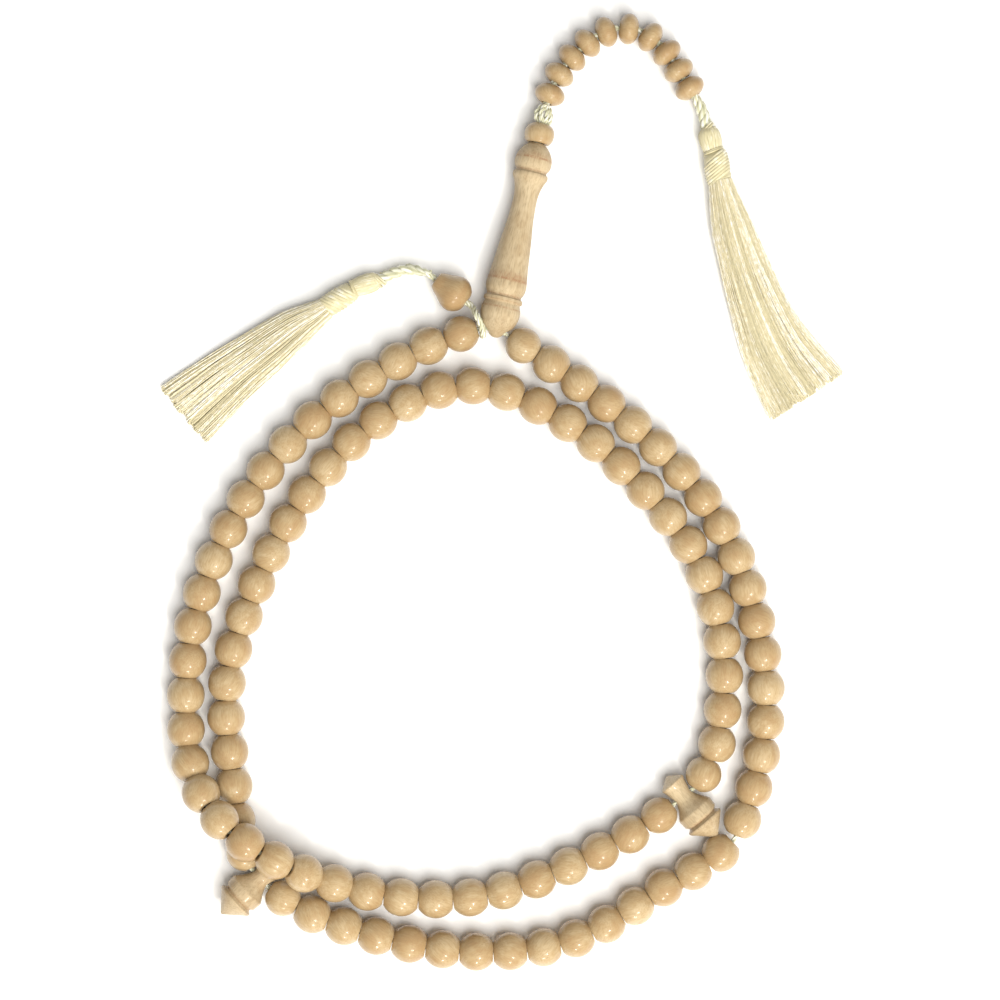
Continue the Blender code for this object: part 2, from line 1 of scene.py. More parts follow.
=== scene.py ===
# %% [markdown]
# # A misbaha: ninety-nine turned beads, two dividers, a leader, ten counters and two tassels
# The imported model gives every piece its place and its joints. This script makes the fine pieces that
# stand in for the plain solids: beads with a bored hole, twisted cords, wound bindings and fringes of
# single threads. Everything is in metres, lying on a table at z = 0.

import json
import math

import bmesh
import bpy
import numpy as np
from mathutils import Matrix, Vector

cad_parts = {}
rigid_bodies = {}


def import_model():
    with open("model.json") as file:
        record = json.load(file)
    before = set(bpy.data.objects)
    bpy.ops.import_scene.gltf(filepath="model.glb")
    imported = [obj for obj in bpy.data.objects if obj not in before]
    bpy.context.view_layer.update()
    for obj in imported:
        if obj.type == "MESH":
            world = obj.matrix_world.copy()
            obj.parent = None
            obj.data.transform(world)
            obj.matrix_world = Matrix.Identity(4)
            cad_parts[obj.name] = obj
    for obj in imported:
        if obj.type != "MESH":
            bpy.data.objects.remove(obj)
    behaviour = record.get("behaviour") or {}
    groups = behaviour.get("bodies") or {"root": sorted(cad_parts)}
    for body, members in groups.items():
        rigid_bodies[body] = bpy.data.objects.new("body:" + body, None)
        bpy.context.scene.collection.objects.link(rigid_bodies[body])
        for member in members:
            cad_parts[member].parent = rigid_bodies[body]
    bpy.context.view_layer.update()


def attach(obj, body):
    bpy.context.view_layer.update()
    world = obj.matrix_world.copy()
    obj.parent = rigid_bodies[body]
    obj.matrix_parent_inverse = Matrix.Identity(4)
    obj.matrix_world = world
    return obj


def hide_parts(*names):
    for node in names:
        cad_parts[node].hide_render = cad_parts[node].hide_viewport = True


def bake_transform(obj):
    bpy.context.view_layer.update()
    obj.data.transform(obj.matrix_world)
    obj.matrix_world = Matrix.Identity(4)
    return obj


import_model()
MM = 0.001
UP = Vector((0, 0, 1))

# %% [markdown]
# ## Where things lie
# A string of beads has no straight edge to measure from, so its place is a route: a few chosen points
# with a smooth curve through them. A centripetal Catmull-Rom curve passes through every point and doesn't
# overshoot where points are close together, which is why it is used for cords. A distance along the route
# then gives each bead its place.

# %% A route and the distances along it
def smooth_curve(points, closed, steps=24):
    knots = np.array(points, float)
    if closed:
        padded = np.vstack([knots[-1:], knots, knots[:2]])
    else:
        padded = np.vstack([2 * knots[0] - knots[1], knots, 2 * knots[-1] - knots[-2]])
    samples = []
    for p0, p1, p2, p3 in zip(padded, padded[1:], padded[2:], padded[3:]):
        t1 = math.sqrt(np.linalg.norm(p1 - p0))
        t2 = t1 + math.sqrt(np.linalg.norm(p2 - p1))
        t3 = t2 + math.sqrt(np.linalg.norm(p3 - p2))
        t = np.linspace(t1, t2, steps, endpoint=False)[:, None]
        a1 = ((t1 - t) * p0 + t * p1) / t1
        a2 = ((t2 - t) * p1 + (t - t1) * p2) / (t2 - t1)
        a3 = ((t3 - t) * p2 + (t - t2) * p3) / (t3 - t2)
        b1 = ((t2 - t) * a1 + t * a2) / t2
        b2 = ((t3 - t) * a2 + (t - t1) * a3) / (t3 - t1)
        samples.extend(((t2 - t) * b1 + (t - t1) * b2) / (t2 - t1))
    samples = np.array([*samples, padded[-2]])
    if knots.shape[1] == 3:
        samples[:, 2] = np.maximum(samples[:, 2], knots[:, 2].min())
    return samples, np.arange(len(padded) - 2) * steps


class Route:
    def __init__(self, points, closed=False):
        self.samples, at_knots = smooth_curve(points, closed)
        sides = np.linalg.norm(np.diff(self.samples, axis=0), axis=1)
        self.distances = np.concatenate([[0], np.cumsum(sides)])
        self.at_point = self.distances[at_knots]
        self.length = self.distances[-1]

    def place(self, distance):
        return Vector([np.interp(distance, self.distances, axis) for axis in self.samples.T])

    def heading(self, distance, reach=0.2 * MM):
        ahead = self.place(min(distance + reach, self.length))
        return (ahead - self.place(max(distance - reach, 0))).normalized()

    def stretch(self, start, end, spacing):
        """Evenly spaced points from one distance to another."""
        stations = np.linspace(start, end, max(2, round((end - start) / spacing) + 1))
        return np.array([np.interp(stations, self.distances, axis) for axis in self.samples.T]).T


# %% [markdown]
# ## The sizes that the pieces share
# These are the sizes of the real strand: eight-millimetre beads, a leader of about five bead lengths, and
# the routes of its cords. A route's heights are in radii of what is threaded on it.

# %% Sizes and routes
TOUCH_GAP = 0.3 * MM
BEADS, BEAD_DIAMETER, BEAD_FACE, BEAD_BORE = 33, 8.2 * MM, 4.3 * MM, 2.2 * MM
BEAD_RADIUS = 4.0 * MM  # half a bead without its lacquer, and so the height of the string above the table
STOP_BEAD_DIAMETER, STOP_BEAD_FACE = 7.8 * MM, 3.1 * MM  # a bead that a divider or the leader swings past
LOOP_CORD = 1.1 * MM
SECTION_NODES = (
    (3, 3, 1, 1, 1, 4, 4, 4, 4, 4, 4),
    (3, 3, 1, 1, 1, 4, 4, 4, 4, 4, 4),
    (3, 4, 4, 4, 4, 1, 1, 1, 4, 4, 3),
)
SECTION_WEDGES = ((0, 0), (0, 0), (15, 1.5 * MM))
DIVIDER_LENGTH, DIVIDER_RIM, DIVIDER_WAIST = 17.0 * MM, 8.6 * MM, 4.5 * MM
DIVIDER_SEAT, DIVIDER_HOLE, DIVIDER_GAP = 5.4 * MM, 2.2 * MM, 0.7 * MM
LEADER_LENGTH, LEADER_BODY, LEADER_BORE = 42.9 * MM, 8.8 * MM, 2.8 * MM
LEADER_STEP, LEADER_FOOT_BORE, LEADER_LIP = 3.4 * MM, 1.5 * MM, 3.3 * MM
LEADER_SEAT, LEADER_HOLE, LEADER_FULLEST = 1.7 * MM, 1.9 * MM, 11.7 * MM
LEADER_LEAN, LEADER_DROP = math.radians(12.4), math.radians(0.9)
FIRST_BEAD_SPACE, LAST_BEAD_SPACE = 0.466 * LEADER_BODY, 0.352 * LEADER_BODY
COLLAR_LENGTH, COLLAR_BORE = 4.2 * MM, 2.5 * MM
KNOT_LENGTH = 3.6 * MM
COUNTER_DIAMETER, COUNTER_LENGTH, COUNTER_BORE = 6.7 * MM, 4.15 * MM, 2.2 * MM
COUNTER_SPACES = (0.7, 0.5, 0.4, 0.65, 0.95, 1.0, 0.8, 0.45, 0.4)
TAIL_CORD, MARKER_CORD, TASSEL_CORD = 1.5 * MM, 1.4 * MM, 2.4 * MM
PEAR_DIAMETER, PEAR_LENGTH, PEAR_BORE, PEAR_TRAVEL = 8.0 * MM, 8.2 * MM, 2.0 * MM, 2.0 * MM
TAIL_TASSEL = {"cord": 6.6, "head": 5.4, "binding": 7.1, "fringe": 50.0, "head_d": 4.8, "binding_d": 5.9,
               "spread": (5.2, 9.0, 11.0, 13.0, 16.0, 19.2)}
MARKER_TASSEL = {"cord": 10.6, "head": 6.3, "binding": 7.8, "fringe": 38.0, "head_d": 4.3, "binding_d": 5.2,
                 "spread": (4.8, 8.8, 10.8, 12.2, 14.0, 15.8)}

LAY_CENTRE, LEADER_FOOT = (0.3, 0.9), (-1.1, 35.9)
DIVIDER_PLACES = ((39.2, -64.8), (-52.0, -82.5))
SECTIONS = (
    (
        (-8.3, 35.4, 1.0), (-28.4, 25.7, 1.0), (-45.1, 12.5, 1.0), (-58.0, -5.0, 1.0),
        (-66.3, -25.7, 1.0), (-68.2, -40.6, 1.0), (-67.8, -55.8, 1.12), (-65.2, -63.1, 1.95),
        (-60.4, -69.4, 2.83), (-54.8, -74.2, 2.86), (-48.1, -78.2, 2.72), (-41.4, -81.7, 1.75),
        (-34.4, -84.1, 1.06), (-27.8, -86.0, 1.0), (-6.4, -86.9, 1.0), (14.8, -80.0, 1.0), (34.5, -69.0, 1.0),
    ),
    (
        (44.3, -60.6, 1.0), (48.3, -37.8, 1.0), (43.5, -15.9, 1.0), (30.6, 1.8, 1.0),
        (13.5, 16.4, 1.0), (-6.8, 24.2, 1.0), (-27.1, 16.2, 1.0), (-42.7, -0.4, 1.0),
        (-53.5, -20.3, 1.0), (-59.6, -41.3, 1.0), (-57.8, -62.7, 1.0), (-56.0, -78.0, 1.0),
    ),
    (
        (-48.0, -86.9, 1.0), (-27.3, -95.1, 1.0), (-5.9, -98.6, 1.0), (15.2, -96.2, 1.0),
        (34.5, -85.0, 1.0), (40.3, -81.4, 1.0), (47.0, -78.3, 1.0),
        (52.0, -70.6, 1.0), (57.2, -49.5, 1.0), (55.2, -26.8, 1.0),
        (47.2, -5.6, 1.0), (33.2, 11.2, 1.0), (16.1, 24.9, 1.0), (4.4, 32.6, 1.0),
    ),
)
TAIL_ROUTE = (
    (2.9, 6.9, 1.0), (8.6, 13.1, 1.0), (12.6, 15.9, 1.0), (17.6, 16.7, 1.0),
    (22.0, 15.3, 1.0), (26.0, 11.7, 1.0), (29.6, 6.0, 1.0), (32.2, 1.9, 1.0), (34.4, -2.2, 1.0),
)
MARKER_CREVICE = (-4.1, 2.7, 1.68)
PEAR_ENDS = ((-6.5, 6.0, 1.0), (-13.2, 11.0, 1.0))
TAIL_TASSEL_ROUTE = (
    (1.3, -2.6, 1.05), (2.4, -6.3, 1.0), (3.9, -11.7, 1.0), (5.4, -18.4, 1.0), (7.2, -25.3, 0.8),
    (9.7, -33.5, 0.8), (13.6, -44.3, 0.7), (18.0, -54.1, 0.7), (24.7, -64.5, 0.7),
)
MARKER_TASSEL_ROUTE = (
    (-3.4, 0.7, 1.1), (-6.2, 0.3, 1.0), (-10.9, -1.8, 1.0), (-16.4, -3.7, 1.0), (-22.4, -8.1, 1.0),
    (-28.2, -11.6, 0.8), (-34.5, -16.2, 0.8), (-42.2, -21.9, 0.7), (-53.8, -31.4, 0.7),
)


# %% The string's route, and the stretch of it that each bead takes
def on_lay(x, y, height):
    return Vector(((x - LAY_CENTRE[0]) * MM, (y - LAY_CENTRE[1]) * MM, height))


def beside(start, offset, radius):
    return Vector((start.x + offset[0] * MM, start.y + offset[1] * MM, offset[2] * radius))


LEADER_HEADING = Vector((
    math.sin(LEADER_LEAN) * math.cos(LEADER_DROP), math.cos(LEADER_LEAN) * math.cos(LEADER_DROP),
    -math.sin(LEADER_DROP),
))
FOOT = on_lay(*LEADER_FOOT, LEADER_BODY / 2 + (LEADER_FULLEST - LEADER_SEAT) * math.sin(LEADER_DROP))
seats = [on_lay(*place, BEAD_RADIUS) for place in DIVIDER_PLACES]
laps = [[on_lay(x, y, h * BEAD_RADIUS) for x, y, h in section] for section in SECTIONS]
STRING = Route([FOOT, *laps[0], seats[0], *laps[1], seats[1], *laps[2]], closed=True)
first = 1 + len(SECTIONS[0])
STOPS = [0, STRING.at_point[first], STRING.at_point[first + 1 + len(SECTIONS[1])], STRING.length]
WAIST_SPACE = DIVIDER_WAIST / 2 + DIVIDER_GAP


def bead_cells():
    """For each section the (start, end) distances of the stretch of string that each bead lies in."""
    leads, trails = (FIRST_BEAD_SPACE, WAIST_SPACE, WAIST_SPACE), (WAIST_SPACE, WAIST_SPACE, LAST_BEAD_SPACE)
    found = []
    for start, end, lead, trail, (after, extra) in zip(STOPS, STOPS[1:], leads, trails, SECTION_WEDGES):
        pitch = (end - start - lead - trail - extra) / BEADS
        starts = [start + lead + pitch * i + (extra if i >= after else 0) for i in range(BEADS)]
        found.append([(place, place + pitch) for place in starts])
    return found


CELLS = bead_cells()
print(f"the string is {STRING.length:.3f} m round, with {sum(map(len, CELLS))} beads")

# %% [markdown]
# ## Camera, light and table
# The strand lies flat and is seen from straight above, so the camera looks down through a long lens, which
# keeps the round beads round at the edges. The light is a wide soft box overhead with two smaller lamps low
# on the near side: they put the small bright spots on the lacquer.

# %% The camera
CAMERA_HEIGHT = 0.62
FIELD = 216.2 * MM  # the width that the camera sees at the beads' middle
camera = bpy.data.objects.new("camera", bpy.data.cameras.new("camera"))
bpy.context.scene.collection.objects.link(camera)
camera.location = (-0.62 * MM, -1.76 * MM, CAMERA_HEIGHT)
camera.data.lens = camera.data.sensor_width * (CAMERA_HEIGHT - BEAD_RADIUS) / FIELD
camera.data.clip_start, camera.data.clip_end = 0.01, 20
bpy.context.scene.camera = camera
print("lens:", round(camera.data.lens), "mm")


# %% The lamps, the sky and the table
def softbox(name, place, target, size, power, colour=(1, 1, 1), mirrored=True):
    lamp = bpy.data.objects.new(name, bpy.data.lights.new(name, "AREA"))
    bpy.context.scene.collection.objects.link(lamp)
    lamp.location = place
    lamp.rotation_euler = (Vector(target) - Vector(place)).to_track_quat("-Z", "Y").to_euler()
    lamp.data.shape, lamp.data.size, lamp.data.energy, lamp.data.color = "DISK", size, power, colour
    lamp.visible_glossy = mirrored


softbox("main", (0.3, -0.38, 1.0), (0, 0, 0), 1.0, 17.5, (1.0, 0.985, 0.95), mirrored=False)
softbox("key", (0.3, -0.62, 0.8), (0, 0, 0), 0.15, 3.0, (1.0, 0.95, 0.86))
softbox("near_lamp", (0.02, -0.95, 0.45), (0, 0, 0), 0.12, 2.4, (1.0, 0.93, 0.8))
world = bpy.data.worlds.new("studio")
world.use_nodes = True
world.node_tree.nodes["Background"].inputs["Color"].default_value = (1, 1, 1, 1)
world.node_tree.nodes["Background"].inputs["Strength"].default_value = 0.29
bpy.context.scene.world = world
bpy.context.scene.view_settings.view_transform = "Standard"

shape = bmesh.new()
bmesh.ops.create_grid(shape, x_segments=1, y_segments=1, size=3)
table_mesh = bpy.data.meshes.new("table")
shape.to_mesh(table_mesh)
shape.free()
table = bpy.data.objects.new("table", table_mesh)
bpy.context.scene.collection.objects.link(table)
table_look = bpy.data.materials.new("table_paint")
table_look.use_nodes = True
table_look.node_tree.nodes["Principled BSDF"].inputs["Base Color"].default_value = (0.93, 0.93, 0.93, 1)
table_look.node_tree.nodes["Principled BSDF"].inputs["Roughness"].default_value = 0.9
table_mesh.materials.append(table_look)
print("lamps and table are set")

# %% [markdown]
# ## Shader maths as arithmetic
# A material is a graph of nodes. Written out link by link it is long and hard to read, so a socket is
# wrapped in a small class with the usual operators: `1 - pores * 0.3` then adds its own Math nodes.

# %% A wrapped socket, and a material that makes nodes
class Wire:
    def __init__(self, look, socket):
        self.look, self.socket = look, socket

    def maths(self, operation, *others):
        return self.look.node("Math", dict(enumerate((self, *others))), operation=operation)

    def __add__(self, other):
        return self.maths("ADD", other)

    def __mul__(self, other):
        return self.maths("MULTIPLY", other)

    def __sub__(self, other):
        return self.maths("SUBTRACT", other)

    def __rsub__(self, other):
        return self.look.node("Math", {0: other, 1: self}, operation="SUBTRACT")

    def __truediv__(self, other):
        return self.maths("DIVIDE", other)

    __radd__, __rmul__ = __add__, __mul__

    def between(self, low, high):
        """0 below `low`, 1 above `high`, with a smooth step from one to the other."""
        values = {"Value": self, "From Min": low, "From Max": high}
        return self.look.node("MapRange", values, interpolation_type="SMOOTHSTEP")


class Look:
    """A material with one Principled shader, whose plain settings are given by name."""

    def __init__(self, name, **settings):
        self.material = bpy.data.materials.new(name)
        self.material.use_nodes = True
        self.tree = self.material.node_tree
        self.shader = self.tree.nodes["Principled BSDF"]
        for key, value in settings.items():
            self.shader.inputs[key.replace("_", " ")].default_value = value

    def node(self, kind, values=(), output=0, stops=(), **settings):
        made = self.tree.nodes.new("ShaderNode" + kind)
        for key, value in settings.items():
            setattr(made, key, value)
        for place, colour in stops:
            made.color_ramp.elements.new(place).color = colour
        if stops:
            made.color_ramp.elements.remove(made.color_ramp.elements[0])
            made.color_ramp.elements.remove(made.color_ramp.elements[-1])
        for key, value in dict(values).items():
            self.plug(made.inputs[key], value)
        return Wire(self, made.outputs[output])

    def plug(self, socket, value):
        if isinstance(value, Wire):
            self.tree.links.new(value.socket, socket)
        else:
            socket.default_value = value

    def noise(self, where, scale, detail=2, **values):
        values = {key.capitalize(): value for key, value in values.items()}
        return self.node("TexNoise", {"Vector": where, "Scale": scale, "Detail": detail, **values})

    def stretched(self, where, scale):
        return self.node("Mapping", {"Vector": where, "Scale": scale})

    def tinted(self, colour, other, share):
        """One colour turning into another by a share."""
        return self.node("Mix", {0: share, 6: colour, 7: other}, output=2, data_type="RGBA")

    def finish(self, colour, roughness, height, depth):
        bump = self.node("Bump", {"Height": height, "Distance": depth, "Strength": 1.0})
        self.plug(self.shader.inputs["Base Color"], colour)
        self.plug(self.shader.inputs["Roughness"], roughness)
        self.plug(self.shader.inputs["Normal"], bump)
        print("finish:", self.material.name)
        return self.material


# %% [markdown]
# ## Wood
# The beads are turned from a pale, close-grained wood. Its colour drifts in soft patches, its year rings
# are faint bands, and fine fibres and pores run along one direction. Each bead was cut from another spot of
# the plank, so every piece carries its own wood coordinates in an attribute called `grain`, and a `tone`
# for how golden it is. The beads are lacquered, which a clear coat gives. The leader and the dividers are
# left bare, so they are paler and duller.

# %% The wood finishes
def wood(name, pale, deep, rosy, gloss, coat, grain_depth):
    """`grain_depth` is how dark the fibres are drawn."""
    look = Look(name, Coat_Weight=coat, Coat_Roughness=0.12, Specular_IOR_Level=0.4)
    grain = look.node("Attribute", attribute_name="grain", output=1)
    tone = look.node("Attribute", attribute_name="tone", output=2)
    along = look.stretched(grain, (1, 1, 0.14))
    fibres = look.noise(along, 3300, detail=3)
    patches = look.noise(grain, 260, detail=2)
    pores = look.noise(look.stretched(grain, (1, 1, 0.22)), 7200, detail=1).between(0.62, 0.74)
    across = look.node("SeparateXYZ", {"Vector": grain})
    rings = ((across * 3600) + look.noise(along, 420) * 7).maths("SINE") * 0.5 + 0.5
    shade = patches.between(0.35, 0.68) * 0.4 + rings * 0.14 + fibres.between(0.3, 0.7) * 0.3 + tone * 0.36
    colour = look.node("ValToRGB", {"Fac": shade}, stops=((0.16, pale), (0.55, deep), (0.95, rosy)))
    streaks = fibres.between(0.5, 0.7) * grain_depth + pores * 0.3
    dark = look.node("Mix", {0: streaks, 6: colour, 7: (*(c * 0.52 for c in deep[:3]), 1)}, output=2,
                     data_type="RGBA")
    return look, dark, grain, fibres, pores, gloss + fibres * 0.14


def bead_lacquer():
    look, colour, _, fibres, pores, rough = wood(
        "bead_lacquer", (0.5, 0.38, 0.22, 1), (0.425, 0.3, 0.155, 1), (0.385, 0.25, 0.12, 1), 0.3, 0.5, 0.13)
    return look.finish(colour, rough, fibres - pores * 0.8, 0.018 * MM)


BEAD_LACQUER = bead_lacquer()


# %% The bare wood of the leader and the dividers, with the brown bands that the lathe's friction burnt in
def bare_wood(name, coat, bands):
    """Each band is its height on the piece, its half height and how dark it is."""
    look, colour, grain, fibres, pores, rough = wood(
        name, (0.55, 0.44, 0.28, 1), (0.48, 0.37, 0.225, 1), (0.4, 0.29, 0.165, 1),
        0.46 - 0.2 * coat, coat, 0.3)
    height = look.node("SeparateXYZ", {"Vector": grain}, output=2)
    streaks = look.noise(look.stretched(grain, (1, 1, 0.12)), 3000, detail=2).between(0.4, 0.6)
    for middle, half, dark in bands:
        away = (height - middle).maths("ABSOLUTE") + (streaks - 0.5) * half * 0.6
        band = 1 - away.between(half * 0.3, half)
        colour = look.tinted(colour, (0.3, 0.14, 0.065, 1), band * (streaks * 0.8 + 0.2) * dark)
    lathe = (height * 21000 + fibres * 3).maths("SINE") * 0.16
    return look.finish(colour, rough, fibres - pores + lathe, 0.03 * MM)


LEADER_BANDS = ((12.7 * MM, 0.6 * MM, 0.75), (13.5 * MM, 1.3 * MM, 0.45), (39.5 * MM, 0.5 * MM, 0.75),
                (40.2 * MM, 1.0 * MM, 0.35), (6.5 * MM, 0.4 * MM, 0.55), (8.0 * MM, 0.3 * MM, 0.4),
                (9.2 * MM, 0.4 * MM, 0.5), (36.8 * MM, 0.4 * MM, 0.5))
LEADER_WOOD = bare_wood("leader_wood", 0.0, LEADER_BANDS)
DIVIDER_WOOD = bare_wood("divider_wood", 0.4, ((11.85 * MM, 0.35 * MM, 0.5), (2.2 * MM, 0.2 * MM, 0.25)))

# %% [markdown]
# ## Rayon cord and thread
# The cords and tassels are shiny viscose: cream with a slight green cast. Every strand has a map named
# `yarn`, with how far round it is in U and how far along, in metres, in V. A sine of both draws the yarn's
# own fine twist as ridges, and the same sine paints each crest lighter and each groove darker: painted
# highlight and painted shade. On smooth threads a noise along each one paints short streaks of sheen
# instead. The sheen of the shader adds the silky edge.

# %% The thread finishes
def thread(name, pale, deep, bright, ridges, pitch, rough, depth):
    """`ridges` yarns show on each strand; a strand of single silky fibres has none."""
    look = Look(name, Sheen_Weight=0.15, Sheen_Roughness=0.35, Specular_IOR_Level=0.45)
    yarn = look.node("UVMap", uv_map="yarn")
    tone = look.node("Attribute", attribute_name="tone", output=2)
    around = look.node("SeparateXYZ", {"Vector": yarn})
    along = look.node("SeparateXYZ", {"Vector": yarn}, output=1)
    fuzz = look.noise(look.node("TexCoord", output=3), 4200, detail=2)
    # painted highlight and shade: twist crests lighter, grooves darker; smooth threads get painted sheen
    # streaks
    if ridges:
        twist = ((around * ridges + along / pitch) * math.tau).maths("SINE") * 0.5 + 0.5
        twist_relief_and_painted_light = twist.between(0.0, 0.8)
    else:
        own = look.node("CombineXYZ", {0: tone * 90 + around, 1: along / pitch})
        twist_relief_and_painted_light = look.noise(own, 1.0, detail=2).between(0.3, 0.7)
    shade = twist_relief_and_painted_light * 0.34 + fuzz * 0.2 + tone * 0.6
    colour = look.node("ValToRGB", {"Fac": shade}, stops=((0.1, deep), (0.62, pale), (1.0, bright)))
    return look.finish(colour, rough + fuzz * 0.2, twist_relief_and_painted_light + fuzz * 0.3, depth)


CORD_YARN = thread("cord_yarn", (0.6, 0.59, 0.41, 1), (0.36, 0.36, 0.22, 1), (0.74, 0.74, 0.58, 1),
                   3, 2.6 * MM, 0.32, 0.025 * MM)
WRAP_YARN = thread("wrap_yarn", (0.68, 0.62, 0.4, 1), (0.42, 0.37, 0.21, 1), (0.82, 0.78, 0.58, 1),
                   0, 2.2 * MM, 0.28, 0.02 * MM)
FRINGE_YARN = thread("fringe_yarn", (0.7, 0.63, 0.42, 1), (0.44, 0.4, 0.26, 1), (0.84, 0.8, 0.62, 1),
                     0, 1.3 * MM, 0.3, 0.015 * MM)


# %% [markdown]
# ## Turning a piece
# Beads, dividers and leader all come off a lathe, so one helper does them all: an outline of (height,
# radius) pairs is spun round Z. An outline that also runs back down the bore makes a closed ring, and one
# that starts and ends on the axis makes a solid.

# %% Helpers that turn a piece, lay it in place and give it to its body
def spun(outline, steps=40):
    """A turned mesh about Z as a bmesh, with its faces outwards."""
    shape = bmesh.new()
    points = [shape.verts.new((radius, 0, height)) for height, radius in outline]
    ring = outline[0][1] > 0
    edges = [shape.edges.new(pair) for pair in zip(points, points[1:] + points[: int(ring)])]
    bmesh.ops.spin(shape, geom=points + edges, axis=UP, cent=(0, 0, 0), angle=math.tau, steps=steps,
                   use_merge=True)
    bmesh.ops.remove_doubles(shape, verts=shape.verts, dist=0.001 * MM)
    bmesh.ops.recalc_face_normals(shape, faces=shape.faces)
    return shape


def facing(middle, heading):
    """The matrix that puts a piece at `middle` with its Z along `heading` and its X level."""
    across = heading.cross(UP).normalized()
    turn = Matrix((across, heading.cross(across), heading)).transposed()
    return Matrix.Translation(middle) @ turn.to_4x4()


def add_to(mesh_parts, shape, matrix, grain_turn=None, shift=(0, 0, 0), tone=0.5):
    """Puts a turned shape in its place and stores its wood coordinates and its tone."""
    mesh = bpy.data.meshes.new("part")
    grain = shape.verts.layers.float_vector.new("grain")
    tones = shape.verts.layers.float.new("tone")
    for vert in shape.verts:
        vert[grain] = (grain_turn @ vert.co if grain_turn else vert.co) + Vector(shift)
        vert[tones] = tone
    bmesh.ops.transform(shape, matrix=matrix, verts=shape.verts)
    shape.to_mesh(mesh)
    shape.free()
    mesh_parts.append(mesh)


def piece(name, mesh_parts, look, body, slot, *nodes, sharp=38):
    """One object from its parts, which rides on its body in place of the plain solids."""
    shape = bmesh.new()
    for part in mesh_parts:
        shape.from_mesh(part)
        bpy.data.meshes.remove(part)
    mesh = bpy.data.meshes.new(name)
    shape.to_mesh(mesh)
    shape.free()
    mesh.shade_smooth()
    mesh.set_sharp_from_angle(angle=math.radians(sharp))
    mesh.materials.append(look)
    made = bpy.data.objects.new(name, mesh)
    bpy.context.scene.collection.objects.link(made)
    if body:
        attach(made, body)
    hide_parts(*nodes)
    return made


# %% [markdown]
# ## The ninety-nine beads
# A bead is a ball, slightly flattened where it meets its neighbours, with a bored hole whose edge is
# eased so that it doesn't cut the cord. A random turn and shift of the wood coordinates makes each one
# its own piece of wood; the seed is fixed, so every run gives the same beads. Real beads touch, so each
# one fills its stretch of the cord. The beads beside a divider or the leader are drawn slightly slimmer,
# which leaves those pieces room to turn.

# %% Bead outlines
def ball_outline(diameter, length, face, bore, rows=9):
    """Round the outside from end to end, over the eased edges and back through the bore."""
    waist, end, half, ease = diameter / 2, face / 2, length / 2, 0.22 * MM
    shares = [math.sin(math.pi / 2 * step / rows) for step in range(-rows, rows + 1)]
    outside = [(s * half, math.sqrt(waist**2 - (waist**2 - end**2) * s * s)) for s in shares]
    hole = bore / 2
    top = [(half, hole + ease), (half - ease * 0.4, hole + ease * 0.3), (half - ease * 1.6, hole)]
    return [*outside, *top, *((-height, radius) for height, radius in reversed(top))]


random = np.random.default_rng(33)


def bead_wood(tone_spread=0.5, tone=0.5):
    """A random turn and place in the plank, and a tone."""
    turn = Matrix.Rotation(random.uniform(0, math.tau), 3, "Z")
    turn = turn @ Matrix.Rotation(random.uniform(-1, 1), 3, "X")
    turn = turn @ Matrix.Rotation(random.uniform(0, math.tau), 3, "Z")
    return turn, random.uniform(-0.5, 0.5, 3), tone + tone_spread * random.uniform(-1, 1)


# %% The beads of the string
def string_beads():
    number = 1
    for section, counts in zip(CELLS, SECTION_NODES):
        cells = section
        for count in counts:
            own, cells = cells[:count], cells[count:]
            parts = []
            for start, end in own:
                one, other = STRING.place(start), STRING.place(end)
                beside_stop = (start, end) in (section[0], section[-1])
                diameter, face = BEAD_DIAMETER, BEAD_FACE
                if beside_stop:
                    diameter, face = STOP_BEAD_DIAMETER, STOP_BEAD_FACE
                shape = spun(ball_outline(diameter, (other - one).length - 0.12 * MM, face, BEAD_BORE))
                add_to(parts, shape, facing((one + other) / 2, (other - one).normalized()), *bead_wood())
            last = number + count - 1
            node = f"bead_{number:02d}" if count == 1 else f"beads_{number:02d}_to_{last:02d}"
            body = node if count == 1 else "strand"
            piece(f"turned_{node}", parts, BEAD_LACQUER, body, "bead_wood", node)
            number += count
    print("beads:", number - 1)


string_beads()

# %% [markdown]
# ## Strands, ropes and loops
# A cord is several yarns twisted round each other, and that shape is what makes it read as a cord. Each
# yarn is a bevelled curve that runs in a helix round the cord's route; the curves become one mesh, and
# their rings of points, which come in order, give the `yarn` map. The helix needs a frame that travels along
# the route without turning by itself, so each step carries the last one's normal on.

# %% Helpers for strands
def travelling_frames(points):
    """Two directions across the line at each point, carried along without twist."""
    tangents = np.gradient(points, axis=0)
    tangents /= np.linalg.norm(tangents, axis=1)[:, None]
    side = np.cross(tangents[0], (0.3, 0.2, 1.0))
    sides = []
    for tangent in tangents:
        side = side - tangent * side.dot(tangent)
        side /= np.linalg.norm(side)
        sides.append(side)
    sides = np.array(sides)
    return sides, np.cross(tangents, sides)


